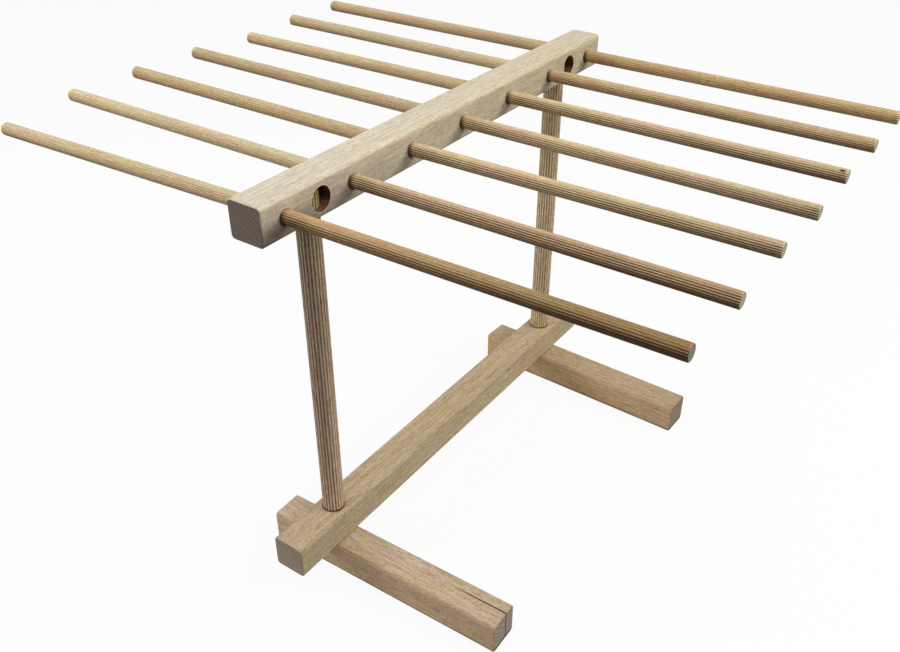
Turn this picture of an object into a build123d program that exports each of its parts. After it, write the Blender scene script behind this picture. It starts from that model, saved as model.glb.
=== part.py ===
from build123d import *
from math import atan, degrees
import os

# A pasta drying rack in beech. X runs along the rods and the feet, Y along the beams, Z up.
# The origin is on the surface the rack stands on, below the middle of the beams.

# Square bar that the two beams and the two feet are cut from
batten_side = 26.0
batten_edge_radius = 3.0
batten_end_chamfer = 0.6
beam_length = 400.0

# Draping rods, glued into blind holes in both side faces of the top beam
rod_diameter = 9.5
rod_flute_count = 20
rod_flute_radius = 0.5
rod_end_chamfer = 0.4
rod_pairs = 7
rod_reach = 264.0  # from the middle of the beam to the tip of the longest rod
rod_end_margin = 20.0  # from the end of the beam to the middle of the outer rods
rod_hole_depth = 9.0
rod_hole_rim = 0.25
glue_clearance = 0.05

# How much of the reach each rod has, and the share of its length that its tip is raised,
# because the rods are cut and their holes drilled by hand; the first rod is at the beam's
# -Y end
right_rod_shares = (0.98, 0.985, 0.985, 0.99, 0.985, 0.99, 0.99)
left_rod_shares = (0.985, 0.995, 0.995, 0.985, 0.97, 0.99, 1.0)
right_rise_shares = (0.016, 0.005, 0.009, 0, 0, 0, 0.002)
left_rise_shares = (-0.037, -0.009, -0.005, -0.002, -0.007, -0.003, -0.005)

# How far each rod and post is turned in its hole, as a share of the step between two flutes
right_turn_shares = (0, 0.2, 0.75, 0.3, 0.8, 0.85, 0.35)
left_turn_shares = (0.45, 0.5, 0.95, 0.2, 0.7, 0.1, 0.4)
near_post_turn_share = 0.85
far_post_turn_share = 0.55

# Posts, loose in the top beam and held in the lower beam by the foot screws
post_diameter = 16.0
post_flute_count = 22
post_flute_radius = 0.65
post_end_chamfer = 1.0
post_clear_height = 242.0  # between the two beams
post_hole_depth = 20.0
post_hole_rim = 0.4
post_clearance = 0.3

# Holes across the top beam, which take the posts when the top is stored turned on its side
storage_hole_clearance = 0.2
storage_hole_rim = 0.25
storage_hole_drop = 0.5  # below the middle of the beam's side

# Feet, which turn on their screws until they lie end to end under the lower beam
folded_feet_gap = 1.5
near_foot_turn = 1.3  # degrees away from square, as the feet are left standing
far_foot_turn = -1.7

# Drying crack in the outer end of the near foot, open through its full height
crack_length = 33.0
crack_mouth = 0.8
crack_offset = 3.0

# Pan head screw and washer that each foot turns on
screw_diameter = 5.0
screw_length = 45.0
screw_thread_length = 24.0
screw_thread_pitch = 2.2
screw_thread_depth = 0.8
screw_tip_length = 5.0
screw_head_diameter = 9.6
screw_head_height = 3.4
screw_head_rounding = 1.5
screw_recess_length = 5.2
screw_recess_width = 1.1
screw_recess_depth = 2.0
pivot_clearance = 0.05
washer_diameter = 15.0
washer_bore = 5.4
washer_thickness = 1.2
washer_recess_clearance = 0.5
washer_recess_depth = 8.0
washer_recess_rim = 0.3

# How far a cutting shape runs past the face it opens
overrun = 1.0

# Places that follow from the sizes above
post_hole_diameter = post_diameter + 2 * post_clearance
storage_hole_diameter = post_diameter + 2 * storage_hole_clearance
rod_hole_diameter = rod_diameter + 2 * glue_clearance
screw_hole_diameter = screw_diameter + 2 * pivot_clearance
washer_recess_diameter = washer_diameter + 2 * washer_recess_clearance
rod_pitch = (beam_length - 2 * rod_end_margin) / (rod_pairs - 1)
post_offset = beam_length / 2 - rod_end_margin - rod_pitch / 2
lower_beam_bottom = batten_side
lower_beam_top = lower_beam_bottom + batten_side
top_beam_bottom = lower_beam_top + post_clear_height
top_beam_middle = top_beam_bottom + batten_side / 2
foot_short_reach = beam_length / 2 - post_offset
foot_long_reach = post_offset - folded_feet_gap / 2
screw_head_seat = washer_recess_depth - washer_thickness

upside_down = Rot(180, 0, 0)


def turned(points):
    """Solid of revolution about Z through (radius, height) points."""
    outline = Polyline(*[(radius, 0, height) for radius, height in points], close=True)
    return revolve(make_face(outline), Axis.Z)


def drill(diameter, depth, rim=0.0):
    """Cutting shape for a hole that opens upwards at z = 0, with a broken edge at its mouth."""
    radius = diameter / 2
    flare = radius + rim + overrun
    return turned([(0, -depth), (radius, -depth), (radius, -rim), (flare, overrun), (0, overrun)])


def batten(length):
    """Square bar centred on Z, from z = 0 up, with rounded long edges and broken ends."""
    bar = extrude(RectangleRounded(batten_side, batten_side, batten_edge_radius), length)
    ends = bar.faces().sort_by(Axis.Z)
    return chamfer(ends[0].edges() + ends[-1].edges(), batten_end_chamfer)


def fluted_dowel(diameter, flute_count, flute_radius, length, end_chamfer, turn_share):
    """Dowel from z = 0 up, with straight flutes pressed into it and broken ends."""
    radius = diameter / 2
    first_flute = 360 / flute_count * turn_share
    flutes = PolarLocations(radius, flute_count, start_angle=first_flute) * Circle(flute_radius)
    section = Circle(radius) - flutes
    flare = radius + overrun
    inset = end_chamfer + overrun
    blank = turned([
        (0, 0), (radius - end_chamfer, 0), (flare, inset),
        (flare, length - inset), (radius - end_chamfer, length), (0, length),
    ])
    return extrude(section, length) & blank


def rod_place(side, pair):
    """Frame at a rod's mouth in the beam's side face, its Z along the rod. side is 1 or -1."""
    shares = right_rise_shares if side > 0 else left_rise_shares
    along = rod_end_margin + pair * rod_pitch - beam_length / 2
    lean = side * (90 - degrees(atan(shares[pair])))
    return Pos(side * batten_side / 2, along, top_beam_middle) * Rot(0, lean, 0)


def rod(side, pair):
    shares = right_rod_shares if side > 0 else left_rod_shares
    turns = right_turn_shares if side > 0 else left_turn_shares
    length = rod_hole_depth + rod_reach * shares[pair] - batten_side / 2
    dowel = fluted_dowel(
        rod_diameter, rod_flute_count, rod_flute_radius, length, rod_end_chamfer, turns[pair])
    return rod_place(side, pair) * Pos(0, 0, -rod_hole_depth) * dowel


def post(along, turn_share):
    """Post that stands on the floor of its hole in the lower beam and carries the top beam."""
    length = post_clear_height + 2 * post_hole_depth
    dowel = fluted_dowel(
        post_diameter, post_flute_count, post_flute_radius, length, post_end_chamfer, turn_share)
    hole_floor = lower_beam_top - post_hole_depth
    screw_tip = screw_head_seat + screw_length
    dowel -= upside_down * drill(screw_hole_diameter, screw_tip - hole_floor + overrun)
    return Pos(0, along, hole_floor) * dowel


def beam(middle):
    """Batten along Y, centred over the origin at the height given."""
    return Pos(0, -beam_length / 2, middle) * Rot(-90, 0, 0) * batten(beam_length)


def top_beam():
    """Beam with the rod holes, blind post holes from below and a storage hole across each."""
    body = beam(top_beam_middle)
    for side in (1, -1):
        for pair in range(rod_pairs):
            body -= rod_place(side, pair) * drill(rod_hole_diameter, rod_hole_depth, rod_hole_rim)
    for along in (-post_offset, post_offset):
        body -= Pos(0, along, top_beam_bottom) * upside_down * drill(
            post_hole_diameter, post_hole_depth, post_hole_rim)
        for side, depth in ((1, batten_side + overrun), (-1, batten_side / 2)):
            height = top_beam_middle - storage_hole_drop
            mouth = Pos(side * batten_side / 2, along, height) * Rot(0, side * 90, 0)
            body -= mouth * drill(storage_hole_diameter, depth, storage_hole_rim)
    return body


def lower_beam():
    """Beam with a blind hole for each post and a screw hole through the wood below it."""
    body = beam((lower_beam_bottom + lower_beam_top) / 2)
    for along in (-post_offset, post_offset):
        body -= Pos(0, along, lower_beam_top) * drill(post_hole_diameter, post_hole_depth, post_hole_rim)
        body -= Pos(0, along, lower_beam_bottom) * upside_down * drill(
            screw_hole_diameter, batten_side - post_hole_depth + overrun)
    return body


def foot(cracked):
    """Foot along X with its pivot over the origin, bored for the screw and recessed for the washer."""
    length = foot_short_reach + foot_long_reach
    body = Pos(-foot_short_reach, 0, batten_side / 2) * Rot(0, 90, 0) * batten(length)
    body -= Pos(0, 0, batten_side) * drill(screw_hole_diameter, batten_side + overrun)
    body -= upside_down * drill(washer_recess_diameter, washer_recess_depth, washer_recess_rim)
    if cracked:
        root = (foot_long_reach - crack_length, crack_offset)
        mouth = foot_long_reach + overrun
        half_mouth = crack_mouth / 2 * (crack_length + overrun) / crack_length
        wedge = make_face(Polyline(
            root, (mouth, crack_offset - half_mouth), (mouth, crack_offset + half_mouth), close=True))
        body -= Pos(0, 0, -overrun) * extrude(wedge, batten_side + 2 * overrun)
    return body


def foot_screw():
    """Screw with its head's bearing face at z = 0 and its tip up. The thread is closed ridges."""
    crest = screw_diameter / 2
    core = crest - screw_thread_depth
    profile = [(0, 0), (crest, 0), (crest, screw_length - screw_thread_length)]
    ridges = int((screw_thread_length - screw_tip_length) / screw_thread_pitch)
    thread_start = screw_length - screw_tip_length - ridges * screw_thread_pitch
    for ridge in range(ridges):
        height = thread_start + ridge * screw_thread_pitch
        profile += [(core, height), (crest, height + screw_thread_pitch / 2)]
    profile += [(core, screw_length - screw_tip_length), (0, screw_length)]
    head = Cylinder(screw_head_diameter / 2, screw_head_height, align=(Align.CENTER, Align.CENTER, Align.MAX))
    head = fillet(head.edges().sort_by(Axis.Z)[0], screw_head_rounding)
    for quarter in (0, 90):
        slot = Box(screw_recess_length, screw_recess_width, 2 * screw_recess_depth)
        head -= Pos(0, 0, -screw_head_height) * Rot(0, 0, quarter) * slot
    return turned(profile) + head


def washer():
    """Flat washer with its upper face at z = 0."""
    ring = Circle(washer_diameter / 2) - Circle(washer_bore / 2)
    return extrude(ring, -washer_thickness)


def pieces():
    """Every piece of the rack in its place, by name."""
    placed = {"top_beam": top_beam(), "lower_beam": lower_beam()}
    for side, name in ((1, "right"), (-1, "left")):
        for pair in range(rod_pairs):
            placed[f"rod_{name}_{pair + 1}"] = rod(side, pair)
    ends = (
        ("near", -post_offset, near_post_turn_share, near_foot_turn, True),
        ("far", post_offset, far_post_turn_share, far_foot_turn, False),
    )
    for name, along, turn_share, turn, cracked in ends:
        placed[f"post_{name}"] = post(along, turn_share)
        placed[f"foot_{name}"] = Pos(0, along, 0) * Rot(0, 0, turn) * foot(cracked)
        placed[f"foot_screw_{name}"] = Pos(0, along, screw_head_seat) * foot_screw()
        placed[f"foot_washer_{name}"] = Pos(0, along, washer_recess_depth) * washer()
    return placed


os.makedirs("parts", exist_ok=True)
for name, piece in pieces().items():
    export_step(piece, f"parts/{name}.step")
    print(name, round(piece.volume))
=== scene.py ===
import math
import bpy
from mathutils import Euler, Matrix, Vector


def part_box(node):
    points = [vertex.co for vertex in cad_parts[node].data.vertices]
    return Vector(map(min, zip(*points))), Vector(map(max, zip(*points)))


# Pasta drying rack in bare beech. Metres, Z up, rods along X, beams along Y.

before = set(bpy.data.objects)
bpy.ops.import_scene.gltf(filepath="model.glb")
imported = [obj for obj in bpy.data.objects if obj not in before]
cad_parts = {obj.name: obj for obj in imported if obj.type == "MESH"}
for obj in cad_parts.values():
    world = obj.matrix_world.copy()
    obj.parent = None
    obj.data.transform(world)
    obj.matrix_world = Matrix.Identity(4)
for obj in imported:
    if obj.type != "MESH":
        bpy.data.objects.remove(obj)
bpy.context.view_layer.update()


# the camera comes first

cameraSettings = {
    "azimuth": 35.06, "elevation": 33.41,       # degrees, seen from the right and the front
    "distance": 0.7855, "target": (-0.0073, 0.0116, 0.1212),
    "lens": 37.98, "sensor": 36.0, "clip": (0.01, 50),
}


def placeCamera(look):
    data = bpy.data.cameras.new("camera")
    data.lens = look["lens"]
    data.sensor_width = look["sensor"]
    data.sensor_fit = "HORIZONTAL"
    data.clip_start, data.clip_end = look["clip"]
    azimuth, elevation = math.radians(look["azimuth"]), math.radians(look["elevation"])
    back = Vector((
        math.sin(azimuth) * math.cos(elevation),
        -math.cos(azimuth) * math.cos(elevation),
        math.sin(elevation)))
    camera = bpy.data.objects.new("camera", data)
    camera.location = Vector(look["target"]) + back * look["distance"]
    camera.rotation_euler = (-back).to_track_quat("-Z", "Y").to_euler()
    bpy.context.scene.collection.objects.link(camera)
    bpy.context.scene.camera = camera


placeCamera(cameraSettings)
print("camera placed")


# shader maths: a wire is one socket, and maths on it adds the nodes

class Wire:
    def __init__(self, tree, socket=None):
        self.tree = tree
        self.socket = socket

    def node(self, kind, settings=None, values=None, out=0):
        made = self.tree.nodes.new("ShaderNode" + kind)
        for name, value in (settings or {}).items():
            setattr(made, name, value)
        for name, value in (values or {}).items():
            if isinstance(value, Wire):
                self.tree.links.new(value.socket, made.inputs[name])
            else:
                made.inputs[name].default_value = value
        return Wire(self.tree, made.outputs[out] if made.outputs else None)

    def output(self, name):                     # another output of the same node
        return Wire(self.tree, self.socket.node.outputs[name])

    def maths(self, operation, first, second=0.0):
        return self.node("Math", {"operation": operation}, {0: first, 1: second})

    def __add__(self, other):
        return self.maths("ADD", self, other)

    def __sub__(self, other):
        return self.maths("SUBTRACT", self, other)

    def __rsub__(self, other):
        return self.maths("SUBTRACT", other, self)

    def __mul__(self, other):
        return self.maths("MULTIPLY", self, other)

    def __truediv__(self, other):
        return self.maths("DIVIDE", self, other)

    def __abs__(self):
        return self.maths("ABSOLUTE", self)

    __radd__ = __add__
    __rmul__ = __mul__

    def lesser(self, other):
        return self.maths("MINIMUM", self, other)

    def greater(self, other):
        return self.maths("MAXIMUM", self, other)

    def step(self, low, high):                  # 0 below low, 1 above high, smooth between
        return self.node(
            "MapRange", {"interpolation_type": "SMOOTHSTEP"}, {0: self, 1: low, 2: high})

    def mix(self, how, share, first, second):
        first, second = (
            shade if isinstance(shade, Wire) else (*shade, 1) for shade in (first, second))
        return self.node(
            "Mix", {"data_type": "RGBA", "blend_type": how}, {0: share, 6: first, 7: second}, out=2)

    def blend(self, first, second):             # two colours, by this wire's value
        return self.mix("MIX", self, first, second)

    def tinted(self, shade, mask=1.0):          # this colour times another, where the mask is 1
        return self.mix("MULTIPLY", mask, self, shade)

    def vector(self, operation, other=(0, 0, 0), out=0):
        return self.node("VectorMath", {"operation": operation}, {0: self, 1: other}, out)

    def length(self, x=1, y=1, z=1):            # of a vector, by how much each part counts
        return self.vector("MULTIPLY", (x, y, z)).vector("LENGTH", out=1)

    def hypot(self, other):                     # distance from an axis, by the two offsets
        return self.node("CombineXYZ", {}, {0: self, 1: other}).vector("LENGTH", out=1)

    def noise(self, size, detail, roughness, out=0):
        return self.node("TexNoise", {}, {
            "Vector": self.vector("DIVIDE", size), "Scale": 1.0,
            "Detail": detail, "Roughness": roughness}, out)

    def parts(self):
        separate = self.node("SeparateXYZ", {}, {0: self})
        return [separate.output(name) for name in "XYZ"]


def newMaterial(name):
    material = bpy.data.materials.new(name)
    material.use_nodes = True
    material.node_tree.nodes.clear()
    return material, Wire(material.node_tree)


def finishMaterial(wire, values, height, depth):
    normal = wire.node("Bump", {}, {"Distance": depth, "Height": height})
    surface = wire.node("BsdfPrincipled", {}, {**values, "Normal": normal})
    wire.node("OutputMaterial", {}, {"Surface": surface})


def give(node, material):
    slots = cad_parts[node].data.materials
    slots.clear()
    slots.append(material)


# beech, in the piece's own millimetres from its first end, X along the grain

beech = {
    # each noise: its size along and twice across the grain, its detail, its roughness
    "sway": ((120, 30, 30), 2.0, 0.5),
    "noises": {
        "fibre": ((8, 0.7, 0.7), 2.0, 0.6),
        "grain": ((20, 1.2, 1.2), 2.0, 0.6),
        "ripple": ((1.8, 2.0, 2.0), 3.0, 0.7),
        "streak": ((90, 2.8, 2.8), 3.0, 0.55),
        "cloud": ((28, 9, 9), 2.0, 0.5),
        "pore": ((14, 0.25, 0.25), 1.0, 0.5),
    },
    # these two run out from the pith, round it and along it
    "ray": ((5, 0.4, 9), 1.0, 0.5),
    "fleckSize": (3.4, 0.8, 2.6), "fleckEdge": (0.12, 0.36), "fleckChance": (0.3, 0.6),
    # year rings: how uneven, and where in a ring the late wood grows and ends
    "uneven": ((7, 1, 1), 1.0, 0.5), "unevenness": 2.0,
    "lateGrows": (0.2, 0.92), "lateEnds": (0.93, 1.0),
    # a face along the grain: what its figure is mixed from, and the figure's two ends
    "figure": {"grain": 1.0, "streak": 0.8, "fibre": 1.8, "ripple": 1.5, "middle": 2.55},
    "plain": 0.3, "pale": (1.13, 1.13, 1.13), "dark": (0.60, 0.50, 0.41),
    "rosy": (1.015, 0.975, 0.99), "golden": (0.995, 1.0, 0.86),     # slow drift of hue
    "drift": (0.36, 0.64),
    # a sawn end
    "endFacing": (0.78, 0.97), "endPlain": 0.1, "endPores": 1.2, "endRays": 0.9,
    "endDark": (0.5, 0.46, 0.44),
    # surface
    "fibreRelief": 0.6, "fleckRelief": 0.3,
    "roughness": 0.6, "fibreRoughness": 0.14, "gloss": 0.3,
}
seedSpread = (3.1, 1.7, 0.9)                    # moves each piece to other wood, by its seed


def mm(*values):
    return tuple(value / 1000 for value in values)


def past(start, distances):                     # both ends of a step, counted from a start
    return [start + distance for distance in distances]


def turnOf(look):
    return [math.radians(angle) for angle in look["turn"]]


def placeOf(wire, look):
    return wire.node("Mapping", {"vector_type": "TEXTURE"}, {
        "Vector": wire.node("TexCoord").output("Object"), "Location": mm(*look["at"]),
        "Rotation": turnOf(look), "Scale": mm(1, 1, 1)})


def endFacing(wire, look):                      # 1 on the ends, 0 along the grain
    along = Euler(turnOf(look)).to_matrix() @ Vector((1, 0, 0))
    normal = wire.node("TexCoord").output("Normal")
    return abs(normal.vector("DOT_PRODUCT", tuple(along), out=1))


def grainOf(wire, place, look):
    seed = look["seed"]
    offset = tuple(seed * share for share in seedSpread)
    sway = place.vector("ADD", offset).noise(*beech["sway"], out=1)
    sway = sway.vector("SUBTRACT", (0.5, 0.5, 0.5))
    bent = place.vector("ADD", sway.vector("MULTIPLY", (0, look["sway"], look["sway"])))
    x, y, z = bent.vector("SUBTRACT", (0, *look["pith"])).parts()
    y = y + x * look["slope"]                   # the bar is sawn a little off the grain
    straight = wire.node("CombineXYZ", {}, {0: x, 1: y, 2: z}).vector("ADD", offset)

    radius = y.hypot(z)
    around = wire.maths("ARCTAN2", z, y) * math.hypot(*look["pith"])
    uneven = wire.node("CombineXYZ", {}, {0: radius, 1: seed}).noise(*beech["uneven"])
    ring = wire.maths("FRACT", radius / look["ringWidth"] + uneven * beech["unevenness"])
    rays = wire.node("CombineXYZ", {}, {0: radius, 1: around, 2: x})
    cells = rays.vector("ADD", (0, 0, offset[0])).vector("DIVIDE", beech["fleckSize"])
    spot = wire.node("TexVoronoi", {"feature": "F1"}, {"Vector": cells, "Scale": 1.0})
    chance = wire.node("SeparateColor", {}, {0: spot.output("Color")})
    return {
        "late": ring.step(*beech["lateGrows"]) * (1 - ring.step(*beech["lateEnds"])),
        "fleck": (1 - spot.step(*beech["fleckEdge"])) * chance.step(*beech["fleckChance"]),
        "ray": rays.noise(*beech["ray"]),
        **{name: straight.noise(*settings) for name, settings in beech["noises"].items()},
    }


def longGrain(grain, tone, look):               # the colour of a face along the grain
    shares = beech["figure"]
    figure = (
        grain["grain"] * shares["grain"] + grain["streak"] * shares["streak"]
        + grain["fibre"] * shares["fibre"] + grain["ripple"] * shares["ripple"]
        - shares["middle"])
    depth = (
        beech["plain"] + figure * look["figure"]
        + grain["late"] * look["rings"] + grain["fleck"] * look["flecks"])
    body = depth.blend(tone.tinted(beech["pale"]), tone.tinted(beech["dark"]))
    hues = {**beech, **look}                    # a piece may have its own rosy and golden
    return body.tinted(grain["cloud"].step(*beech["drift"]).blend(hues["rosy"], hues["golden"]))


def endGrain(grain, look):                      # the colour of a sawn end
    dark = (
        grain["late"] * look["endRings"] + (grain["pore"] - 0.5) * beech["endPores"]
        + (grain["ray"] - 0.5) * beech["endRays"] + beech["endPlain"])
    darkest = tuple(part * share for part, share in zip(look["end"], beech["endDark"]))
    return dark.blend(look["end"], darkest)


def finishWood(wire, grain, body, rough, look):
    height = (
        grain["fibre"] * beech["fibreRelief"] + grain["late"] * look["lateRelief"]
        - grain["fleck"] * beech["fleckRelief"])
    finishMaterial(wire, {
        "Base Color": body, "Roughness": rough, "Specular IOR Level": beech["gloss"],
    }, height, look["relief"])


# square bars: the two beams and the two feet, their faces at 13 from the middle in y and z

battenLook = {
    "sideFace": (-12.6, -11),                   # the face that "side" tones: painted light on that one face
    "edgeFrom": (10.6, 12.1),                   # the rounded edges that "edge" tones
    "outlineFrom": (11.4, 12.4), "outline": 0.6, "outlineShade": (0.55, 0.5, 0.46),
    # painted contact shadow along the lower edges of the feet
    "contactShadowHeight": (-12.0, -8.2), "contactShadowColour": (0.13, 0.11, 0.1),
    # painted shadow: dark crescents on one side of the rod and post mouths
    "mouthAway": (0.9, 0.4), "mouthTurn": (-0.5, 0.6), "mouthShadow": (0.16, 0.11, 0.08),
    "figure": 1.0, "rings": 0.14, "flecks": 0.35, "endRings": 0.6,
    "lateRelief": 0.25, "lateGloss": 0.06, "relief": 0.00006,
}


def withHoles(body, x, y, z, look):             # pale rims; dark inside, burnt and painted shade, also where the posts end
    radius = look["radius"]
    u = abs(x - look["middle"]) - look["offset"]
    reach = u.hypot(z - look["height"])
    rim = reach.step(*past(radius, look["rimStarts"])) * (
        1 - reach.step(*past(radius, look["rimEnds"])))
    body = body.tinted(look["rimShade"], rim * look["rim"])
    through = 1 - reach.step(*past(radius, look["boreEdge"]))
    fromPost = (1 - u.hypot(y).step(*look["postHole"])) * (1 - z.step(*look["postTop"]))
    return body.tinted(look["boreBurnAndShadow"], through.greater(fromPost))


def withMouthShadows(wire, body, x, v, look):         # painted shadow: dark crescents in the face round rods or posts
    first, pitch, radius = look["mouths"]
    u = (wire.maths("FRACT", (x - first) / pitch + 0.5) - 0.5) * pitch
    uAway, vAway = look["mouthAway"]
    away = (0 - u * uAway - v * vAway).step(*(radius * share for share in look["mouthTurn"]))
    ring = 1 - u.hypot(v).step(radius, radius + look["mouthWidth"])
    return body.tinted(look["mouthShadow"], away * ring)


def withCrack(body, x, y, look):                # dark inside, and fading into the grain past it
    line = (1 - abs(y - look["offset"]).step(*look["edge"])) * (
        x.step(*past(look["root"], look["fade"])))
    return body.tinted(look["shade"], line)


def battenMaterial(name, own):
    look = {**battenLook, **own}
    material, wire = newMaterial(name)
    place = placeOf(wire, look)
    x, y, z = place.parts()
    grain = grainOf(wire, place, look)
    side = 1 - y.step(*look["sideFace"])
    body = longGrain(grain, (x / look["length"]).blend(look["first"], look["last"]), look)
    # painted light: one face lighter or darker than the rest
    body = body.tinted(look["side"], side)
    body = body.tinted(look["edge"], abs(y).lesser(abs(z)).step(*look["edgeFrom"]))
    # darker along the edges of a sawn end: painted shade at its edges
    outline = abs(y).greater(abs(z)).step(*look["outlineFrom"]) * look["outline"]
    cut = endGrain(grain, look).tinted(look["outlineShade"], outline)
    body = endFacing(wire, look).step(*beech["endFacing"]).blend(body, cut)

    if "holes" in look:
        body = withHoles(body, x, y, z, look["holes"])
    if "mouths" in look:
        body = withMouthShadows(wire, body, x, y if look["mouthsOnTop"] else z, look)
    if "nearEndShadow" in look:                          # painted shadow, greyer low on the side, towards the first end
        nearEndShadow = look["nearEndShadow"]
        lower = (1 - z.step(*nearEndShadow["height"])) * (1 - x.step(*nearEndShadow["along"])) * side
        body = body.tinted(nearEndShadow["shade"], lower)
    if "contactShadow" in look:                         # painted contact shadow along the lower edges, where it stands
        low = (1 - z.step(*look["contactShadowHeight"])) * look["contactShadow"]
        body = body.tinted(look["contactShadowColour"], low)
    if "crack" in look:
        body = withCrack(body, x, y, look["crack"])

    rough = (
        beech["roughness"] + grain["fibre"] * beech["fibreRoughness"]
        - grain["late"] * look["lateGloss"])
    finishWood(wire, grain, body, rough, look)
    return material


# at is the first end's middle, pith where the tree's middle lies; first and last are the tones
# of the two ends along the bar, end that of a sawn end

topBeamLook = {
    "at": (0, -200, 307), "turn": (0, 0, 90), "length": 400,
    "seed": 3.0, "pith": (-47, 71), "slope": 0.01, "sway": 4.0,
    "ringWidth": 2.5, "figure": 0.75, "rings": 0.08, "flecks": 0.22,
    "first": (0.79, 0.73, 0.61), "last": (0.71, 0.63, 0.47),
    "rosy": (1.0, 0.98, 0.98), "golden": (0.995, 1.0, 0.92),
    "side": (0.97, 0.95, 0.88), "edge": (1.04, 1.04, 1.04),
    "end": (0.27, 0.205, 0.165), "endRings": 0.9,
    "holes": {
        "middle": 200, "offset": 150, "height": -0.5, "radius": 8.2,
        "rimStarts": (0, 0.1), "rimEnds": (0.5, 1.1), "rim": 0.8, "rimShade": (1.3, 1.3, 1.36),
        # inside the bores: burnt from the drill, and painted shade
        "boreEdge": (0, 0.06), "boreBurnAndShadow": (0.27, 0.15, 0.09),
        "postHole": (8.32, 8.42), "postTop": (7.5, 9.0),
    },
    "mouths": (20, 60, 5.4), "mouthWidth": 1.1, "mouthsOnTop": False,
    # painted shadow low on the side near the first end
    "nearEndShadow": {"height": (-8, 9), "along": (10, 150), "shade": (0.42, 0.37, 0.38)},
}
lowerBeamLook = {
    "at": (0, -200, 39), "turn": (0, 0, 90), "length": 400,
    "seed": 41.0, "pith": (34, -46), "slope": 0.03, "sway": 7.0, "ringWidth": 3.6,
    "first": (0.585, 0.475, 0.33), "last": (0.61, 0.48, 0.31), "end": (0.50, 0.385, 0.29),
    "side": (1.04, 1.07, 1.05), "edge": (0.96, 0.95, 0.94),
    "mouths": (50, 300, 8.4), "mouthWidth": 0.6, "mouthsOnTop": True,
}
nearFootLook = {
    "at": (-50, -151.1, 13), "turn": (0, 0, 1.3), "length": 200,
    "seed": 77.0, "pith": (30, 44), "slope": 0.02, "sway": 8.0, "ringWidth": 3.6,
    "first": (0.67, 0.545, 0.40), "last": (0.60, 0.485, 0.345), "end": (0.45, 0.36, 0.27),
    "side": (1.14, 1.06, 0.98), "edge": (0.86, 0.85, 0.84), "contactShadow": 1.0,
    "crack": {
        "root": 167, "offset": 3, "edge": (0.42, 0.7), "fade": (-18, 5),
        "shade": (0.25, 0.2, 0.16)},
}
farFootLook = {
    "at": (-50, 151.5, 13), "turn": (0, 0, -1.7), "length": 200,
    "seed": 113.0, "pith": (-44, 28), "slope": -0.02, "sway": 7.0, "ringWidth": 3.2,
    "first": (0.60, 0.46, 0.31), "last": (0.515, 0.40, 0.262), "end": (0.35, 0.275, 0.18),
    "side": (1.28, 1.21, 1.08), "edge": (0.86, 0.85, 0.84), "contactShadow": 0.8,
}
give("top_beam", battenMaterial("topBeamBeech", topBeamLook))
give("lower_beam", battenMaterial("lowerBeamBeech", lowerBeamLook))
give("foot_near", battenMaterial("nearFootBeech", nearFootLook))
give("foot_far", battenMaterial("farFootBeech", farFootLook))
print("battens finished")


# fluted dowels: the crests are clean, the flutes hold dust, burnt marks from the die and painted
# shade

dowelLook = {
    "sidesFrom": (-0.9, 0.9),                   # of "sides", from the side away from the light to the side toward it
    "fluteFacing": (0.3, 0.65),
    "dustShare": 0.85, "dustCrest": 0.1, "litFlutesFrom": (0.2, 0.95),
    "tipReach": (-9, -1),                       # from the tip, where the tip's share adds to the burn and its painted shade
    # painted shade on the lower side, growing towards the tip
    "underShadow": (0.22, 0.17, 0.13), "underShares": (0.6, 0.5), "underGrows": (0.3, 1.0),
    "lee": (0, -0.8, -0.6),                     # the side away from the light
    # painted shadow round the mouth, deepest on the side away from the light
    "mouthShadow": (0.3, 0.22, 0.17), "mouthShares": (0.3, 0.6), "mouthLee": (-0.4, 0.7),
    "freshEdge": (-0.4, 0.4),
    "rimFrom": (-1.3, -0.5), "rimLee": (-0.8, 0.2), "rim": 0.9, "rimShade": (0.25, 0.24, 0.22),
    "knotLength": 0.6, "knotCore": 0.3,
    "lateRelief": 0.2, "dustRoughness": 0.15, "relief": 0.00005,
}


def fluteMarks(body, x, towardLight, flute, fromAxis, look):      # the body with its burnt flutes, painted shade away from the light
    deepest, shallowest = look["burnDepth"]
    radius = look["radius"]
    burnAndShade = flute * (1 - fromAxis.step(radius - deepest, radius - shallowest)) * (
        1 - towardLight.step(*look["litEdge"]))
    tip = (x - look["length"]).step(*look["tipReach"])
    return body.tinted(look["burntAndShaded"], burnAndShade * (look["burnAndShade"] + tip * look["tipBurnAndShade"]))


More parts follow.
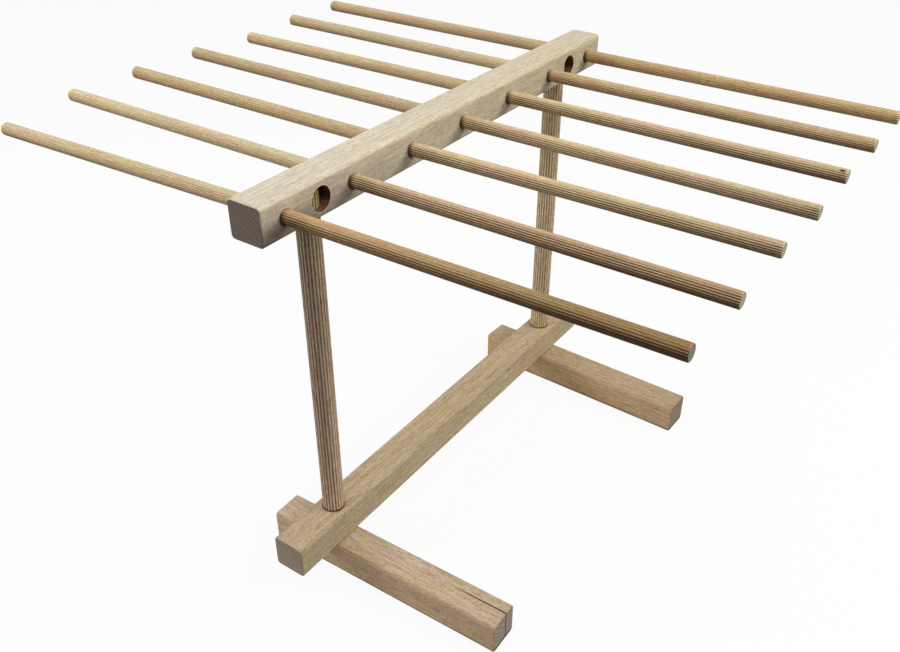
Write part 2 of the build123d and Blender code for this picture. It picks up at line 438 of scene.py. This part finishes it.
def dowelMaterial(name, look):
    material, wire = newMaterial(name)
    place = placeOf(wire, look)
    x = place.parts()[0]
    radius = look["radius"]
    facing = endFacing(wire, look)
    grain = grainOf(wire, place, look)
    fromAxis = place.length(x=0)
    share = x / look["length"]
    towardLight = place.vector("DOT_PRODUCT", look["towardLight"], out=1) / radius      # 1 on the side toward the light
    lee = place.vector("DOT_PRODUCT", look["lee"], out=1) / radius

    body = longGrain(grain, share.blend(look["first"], look["last"]), look)
    # tones of the two sides, on the near post a lighter side toward the light as painted light
    body = body.tinted(towardLight.step(*look["sidesFrom"]).blend(*look["sides"]))
    flute = 1 - facing.step(*look["fluteFacing"])
    # dust and painted shade in the flutes, cleared on the side toward the light as painted light
    dustAndShade = flute * (1 - fromAxis.step(radius - look["depth"], radius - look["dustCrest"])) * (
        1 - towardLight.step(*look["litFlutesFrom"]) * look["litFlutesClear"])
    body = body.tinted(look["dustAndShade"], dustAndShade * look["dustShare"])
    body = fluteMarks(body, x, towardLight, flute, fromAxis, look)

    # painted shade on the lower side
    start, growth = look["underShares"]
    below = (1 - towardLight.step(*look["underEdge"])) * (
        start + share.step(*look["underGrows"]) * growth)
    body = body.tinted(look["underShadow"], below * look["under"])
    # painted shadow at the mouth, deeper on the side away from the light
    start, growth = look["mouthShares"]
    mouth = (1 - (x - look["mouth"]).step(0.0, look["mouthReach"])) * (
        start + lee.step(*look["mouthLee"]) * growth)
    body = body.tinted(look["mouthShadow"], mouth)
    fresh = (x - look["length"] + look["freshEnd"]).step(*look["freshEdge"])
    body = body.tinted(look["fresh"], fresh)

    # darker rim on the upper edge of the sawn end: painted shade at its edge
    rim = fromAxis.step(*past(radius, look["rimFrom"])) * (1 - lee.step(*look["rimLee"]))
    cut = endGrain(grain, look).tinted(look["rimShade"], rim * look["rim"])
    body = facing.step(*beech["endFacing"]).blend(body, cut)
    if "knot" in look:
        at, width, shade = look["knot"]
        away = place.vector("SUBTRACT", at).length(look["knotLength"])
        body = body.tinted(shade, 1 - away.step(width * look["knotCore"], width))

    rough = (
        beech["roughness"] + grain["fibre"] * beech["fibreRoughness"]
        + dustAndShade * look["dustRoughness"])
    finishWood(wire, grain, body, rough, look)
    return material


postLook = {
    **dowelLook,
    "turn": (0, -90, 0), "foot": 32, "length": 282.0, "radius": 8.0, "depth": 0.5,
    "pith": (26, 18), "slope": 0.02, "sway": 3.0, "ringWidth": 2.4,
    "figure": 1.2, "rings": 0.12, "flecks": 0.2,
    "towardLight": (0, 0.57, -0.82), "litEdge": (0.0, 1.0), "litFlutesClear": 0.0,
    "dustAndShade": (0.66, 0.58, 0.50), "burntAndShaded": (0.35, 0.28, 0.24), "burnDepth": (0.5, 0.175),
    "tipBurnAndShade": 0.0, "under": 0.0, "underEdge": (-0.5, 0.8),
    "mouth": 20.0, "mouthReach": 1.5,
    "freshEnd": 20.0, "fresh": (0.95, 1.0, 0.75),           # in the top beam's hole
    "end": (0.45, 0.35, 0.26), "endRings": 0.5,
}
postTones = {                                   # at the foot and at the top, and the two sides; the near post's darker top is partly painted shade, and its lighter side toward the light is painted light
    "near": {
        "along": -150, "seed": -141.0, "burnAndShade": 0.42,
        "first": (0.92, 0.72, 0.575), "last": (0.645, 0.51, 0.43),
        "sides": ((0.94, 0.96, 0.97), (1.04, 1.08, 1.02))},
    "far": {
        "along": 150, "seed": 159.0, "burnAndShade": 0.3,
        "first": (0.92, 0.78, 0.55), "last": (0.96, 0.81, 0.56),
        "sides": ((1.06, 1.07, 1.07), (0.95, 0.95, 0.95))},
}
for end, own in postTones.items():
    give(f"post_{end}", dowelMaterial(f"{end}PostBeech", {
        **postLook, **own, "at": (0, own["along"], postLook["foot"])}))

rodLook = {
    **dowelLook,
    "radius": 4.75, "depth": 0.42,
    "sway": 2.0, "ringWidth": 1.9, "slope": 0.01,
    "figure": 0.6, "rings": 0.1, "flecks": 0.06,
    "cream": (0.66, 0.58, 0.475), "toffee": (0.50, 0.365, 0.22),
    "rosy": (1.03, 0.955, 0.87), "golden": (0.98, 1.02, 0.82), "sides": ((1, 1, 1), (1, 1, 1)),
    "towardLight": (0, 0, 1), "litEdge": (-0.1, 0.85), "litFlutesClear": 0.85, "dustAndShade": (0.88, 0.72, 0.50),
    "burntAndShaded": (0.07, 0.04, 0.025), "burnDepth": (0.5, 0.36), "tipBurnAndShade": 0.7,
    "underEdge": (-0.6, 0.55), "mouth": 0.5, "mouthReach": 3.5,
    "freshEnd": 1.2, "fresh": (1.2, 1.25, 1.25), "end": (0.62, 0.57, 0.41), "endRings": 0.4,
}
rodSides = {                                    # pithAcross is where the tree's middle lies
    "right": {"mouthAt": 13, "facing": 0, "pithAcross": 12},
    "left": {
        "mouthAt": -13, "facing": 180, "pithAcross": -16,
        "underEdge": (-0.6, 0.25), "rosy": (1.0, 0.97, 0.87), "golden": (0.97, 1.03, 0.83)},
}
rodRow = {"first": -180, "pitch": 60, "height": 307, "firstPith": 15, "pithStep": 3}
rodSeeds = {"first": 5.0, "pitch": 7}

# rise is the tip's share of the length; warm runs from cream to toffee, and it and shade are at
# the beam and the tip, shade partly painted light, the nearest rods darker at the tip as painted
# shade; burn is how dark the flutes are, burnt and painted shade, under how dark the lower side as
# painted shade, and their two edges are how far round the rod these two reach
rodTones = {
    "right_1": {
        "rise": 0.016, "warm": (0.95, 1.2), "shade": (1.5, 0.86), "burnAndShade": 1.0, "under": 1.2,
        "litEdge": (0.35, 0.85), "underEdge": (-0.35, 0.65),
        "rosy": (1.04, 0.95, 0.87), "golden": (0.98, 1.0, 0.86), "end": (0.33, 0.31, 0.20)},
    "right_2": {
        "rise": 0.005, "warm": (0.45, 0.8), "shade": (1.42, 1.2), "burnAndShade": 1.0, "under": 1.2,
        "litEdge": (0.72, 1.0), "rosy": (1.04, 0.94, 0.87), "golden": (1.02, 0.98, 0.86)},
    "right_3": {
        "rise": 0.009, "warm": (0.35, 0.5), "shade": (1.5, 1.28), "burnAndShade": 1.0, "under": 0.8,
        "litEdge": (0.45, 0.95)},
    "right_4": {
        "rise": 0.0, "warm": (0.4, 0.3), "shade": (1.48, 1.27), "burnAndShade": 0.8, "under": 0.6,
        "litEdge": (0.45, 1.0)},
    "right_5": {
        "rise": 0.0, "warm": (0.4, 0.3), "shade": (1.5, 1.28), "burnAndShade": 0.9, "under": 0.9,
        "litEdge": (0.4, 0.9), "knot": ((243.4, -2.3, 4.2), 1.5, (0.05, 0.03, 0.02))},
    "right_6": {
        "rise": 0.0, "warm": (0.55, 0.5), "shade": (1.42, 1.28), "burnAndShade": 0.5, "under": 0.7},
    "right_7": {
        "rise": 0.002, "warm": (0.75, 0.7), "shade": (1.36, 1.42), "burnAndShade": 0.2, "under": 0.35},
    "left_1": {
        "rise": -0.037, "warm": (0.3, 0.35), "shade": (1.3, 1.3), "burnAndShade": 0.0, "under": 0.7},
    "left_2": {
        "rise": -0.009, "warm": (0.1, 0.1), "shade": (1.27, 1.35), "burnAndShade": 0.0, "under": 0.5},
    "left_3": {
        "rise": -0.005, "warm": (0.5, 0.55), "shade": (1.32, 1.32), "burnAndShade": 0.0, "under": 0.5},
    "left_4": {
        "rise": -0.002, "warm": (0.35, 0.4), "shade": (1.22, 1.25), "burnAndShade": 0.0, "under": 0.5},
    "left_5": {
        "rise": -0.007, "warm": (0.4, 0.3), "shade": (1.3, 1.4), "burnAndShade": 0.0, "under": 0.5},
    "left_6": {
        "rise": -0.003, "warm": (0.1, 0.1), "shade": (1.27, 1.25), "burnAndShade": 0.0, "under": 0.5},
    "left_7": {
        "rise": -0.005, "warm": (0.45, 0.35), "shade": (1.27, 1.3), "burnAndShade": 0.0, "under": 0.5},
}


def rodTone(warm, shade):
    return tuple(
        (cream + (toffee - cream) * warm) * shade
        for cream, toffee in zip(rodLook["cream"], rodLook["toffee"]))


def rodSettings(number, name, own):
    side, place = name.split("_")
    look = {**rodLook, **rodSides[side], **own}
    along = int(place) - 1
    tip = max(abs(corner[0]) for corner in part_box(f"rod_{name}")) * 1000
    look["seed"] = rodSeeds["first"] + rodSeeds["pitch"] * number
    look["pith"] = (rodRow["firstPith"] + rodRow["pithStep"] * along, look["pithAcross"])
    look["at"] = (look["mouthAt"], rodRow["first"] + rodRow["pitch"] * along, rodRow["height"])
    look["turn"] = (0, -math.degrees(math.atan(look["rise"])), look["facing"])
    look["length"] = tip - abs(look["mouthAt"])
    look["first"], look["last"] = map(rodTone, look["warm"], look["shade"])
    return look


for number, (name, own) in enumerate(rodTones.items()):
    finish = f"rod{name.title().replace('_', '')}Beech"
    give(f"rod_{name}", dowelMaterial(finish, rodSettings(number, name, own)))
print("posts and rods finished")


# zinc plated screws and washers under the feet

steelLook = {
    "pale": (0.62, 0.63, 0.64), "dull": (0.42, 0.43, 0.45), "metallic": 1.0,
    "scuffs": ((0.0008, 0.0008, 0.004), 3.0, 0.6),
    "roughness": 0.34, "scuffRoughness": 0.2, "relief": 0.00003,
}
for node in ("foot_screw_near", "foot_screw_far", "foot_washer_near", "foot_washer_far"):
    material, wire = newMaterial(node.title().replace("_", "") + "Zinc")
    scuff = wire.node("TexCoord").output("Object").noise(*steelLook["scuffs"])
    finishMaterial(wire, {
        "Base Color": scuff.blend(steelLook["pale"], steelLook["dull"]),
        "Metallic": steelLook["metallic"],
        "Roughness": steelLook["roughness"] + scuff * steelLook["scuffRoughness"],
    }, scuff, steelLook["relief"])
    give(node, material)
print("screws finished")


# floor, world and lamps

stageLook = {
    "halfSide": 6, "white": (1, 1, 1),
    "paper": (0.55, 0.55, 0.54), "beyond": (0.05, 0.05, 0.05), "paperReach": (0.15, 0.34),
    "glow": 0.92,                               # share of the seen floor that is plain white
    "horizon": 0.10, "zenith": 0.5, "darkest": 0.02,        # the world's light on the rack
}


def seenRay(wire):
    path = wire.node("LightPath")
    camera, glossy, clear = (
        path.output(name) for name in ("Is Camera Ray", "Is Glossy Ray", "Is Transmission Ray"))
    return camera.greater(glossy).greater(clear)


def makeFloor(look):
    reach = look["halfSide"]
    mesh = bpy.data.meshes.new("floor")
    mesh.from_pydata(
        [(-reach, -reach, 0), (reach, -reach, 0), (reach, reach, 0), (-reach, reach, 0)],
        [], [(0, 1, 2, 3)])
    floor = bpy.data.objects.new("floor", mesh)
    bpy.context.scene.collection.objects.link(floor)
    material, wire = newMaterial("paleFloor")
    seen = seenRay(wire)
    fromRack = wire.node("TexCoord").output("Object").length().step(*look["paperReach"])
    paper = seen.blend(fromRack.blend(look["paper"], look["beyond"]), look["white"])
    diffuse = wire.node("BsdfDiffuse", {}, {"Color": paper})
    glow = wire.node("Emission", {}, {"Color": (*look["white"], 1), "Strength": 1.0})
    surface = wire.node("MixShader", {}, {0: seen * look["glow"], 1: diffuse, 2: glow})
    wire.node("OutputMaterial", {}, {"Surface": surface})
    mesh.materials.append(material)


def makeWorld(look):
    world = bpy.data.worlds.new("softRoom")
    bpy.context.scene.world = world
    world.use_nodes = True
    world.node_tree.nodes.clear()
    wire = Wire(world.node_tree)
    up = wire.node("TexCoord").output("Generated").parts()[2]
    level = look["horizon"] + (look["zenith"] - look["horizon"]) * up
    level = level.greater(look["darkest"])
    strength = level + seenRay(wire) * (1 - level)          # plain white where it is seen
    back = wire.node("Background", {}, {"Color": (*look["white"], 1), "Strength": strength})
    wire.node("OutputWorld", {}, {"Surface": back})


lamps = {
    "overhead": {"at": (0.35, -0.1, 1.35), "aim": (0, 0, 0.2), "size": 1.5, "watts": 7.4},
    "side": {"at": (1.15, 0.65, 0.9), "aim": (0, 0, 0.2), "size": 0.4, "watts": 7.0},
    "front": {"at": (-0.9, -0.8, 0.65), "aim": (-0.1, 0, 0.25), "size": 0.5, "watts": 5.2},
}


def makeLamp(name, look):
    data = bpy.data.lights.new(name, "AREA")
    data.shape = "SQUARE"
    data.size = look["size"]
    data.energy = look["watts"]
    lamp = bpy.data.objects.new(name, data)
    lamp.location = look["at"]
    aim = Vector(look["aim"]) - Vector(look["at"])
    lamp.rotation_euler = aim.to_track_quat("-Z", "Y").to_euler()
    bpy.context.scene.collection.objects.link(lamp)


makeFloor(stageLook)
makeWorld(stageLook)
for name, look in lamps.items():
    makeLamp(name, look)
bpy.context.scene.view_settings.view_transform = "Standard"
print("floor, world and lamps set")
